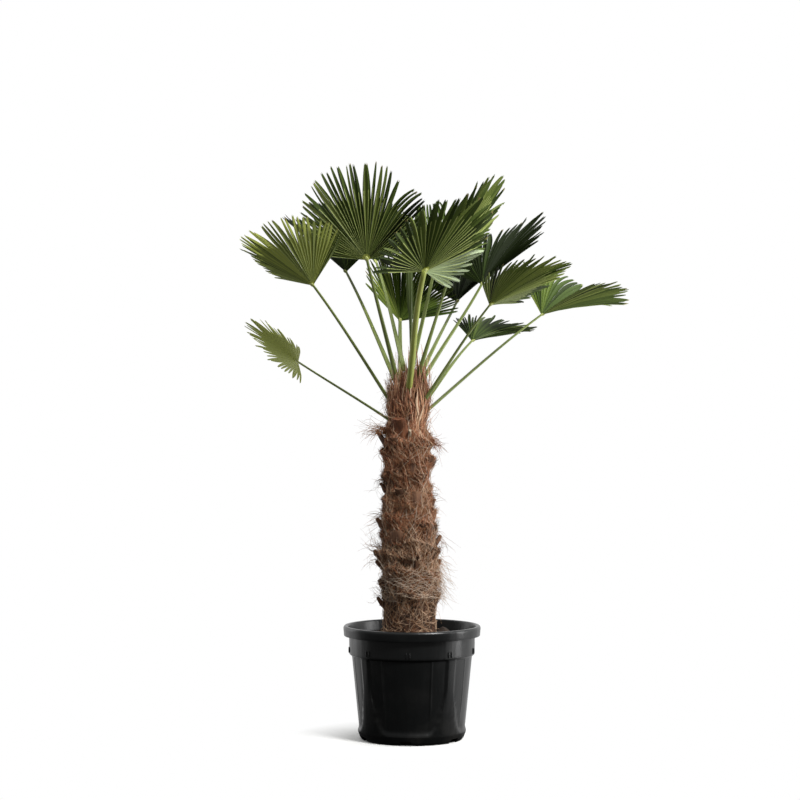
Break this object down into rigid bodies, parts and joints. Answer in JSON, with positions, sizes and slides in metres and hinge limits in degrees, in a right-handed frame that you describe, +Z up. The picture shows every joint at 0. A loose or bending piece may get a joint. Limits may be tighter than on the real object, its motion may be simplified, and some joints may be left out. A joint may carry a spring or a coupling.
{
  "type": "potted windmill palm",
  "caption": "Young fan palm with a fibre-clad trunk and a crown of stiff pleated fans on long stalks, in a round plastic nursery pot.",
  "frame": {"origin": "centre of the pot's flat underside, on the level ground", "axes": "+Z up along the trunk; -Y towards the picture's camera, so +X is the picture's right"},
  "size_m": [1.4576, 1.403, 2.0781],
  "materials": {
    "pot": "satin",
    "soil": "matte",
    "trunk": "matte",
    "petiole": "satin",
    "blade": "satin"
  },
  "bodies": {
    "root": {"pot": "pot", "soil": "soil", "trunk": "trunk", "spear_leaf": "blade", "petiole_left_low": "petiole", "petiole_left": "petiole", "petiole_left_back": "petiole", "petiole_front_left": "petiole", "petiole_back_left": "petiole", "petiole_front": "petiole", "petiole_front_right": "petiole", "petiole_right_back": "petiole", "petiole_back_right": "petiole", "petiole_right_front": "petiole", "petiole_right": "petiole", "petiole_right_low": "petiole", "petiole_back_low": "petiole", "petiole_back": "petiole", "blade_left_low": "blade", "blade_left": "blade", "blade_left_back": "blade", "blade_front_left": "blade", "blade_back_left": "blade", "blade_front": "blade", "blade_front_right": "blade", "blade_right_back": "blade", "blade_back_right": "blade", "blade_right_front": "blade", "blade_right": "blade", "blade_right_low": "blade", "blade_back_low": "blade", "blade_back": "blade"}
  },
  "joints": []
}
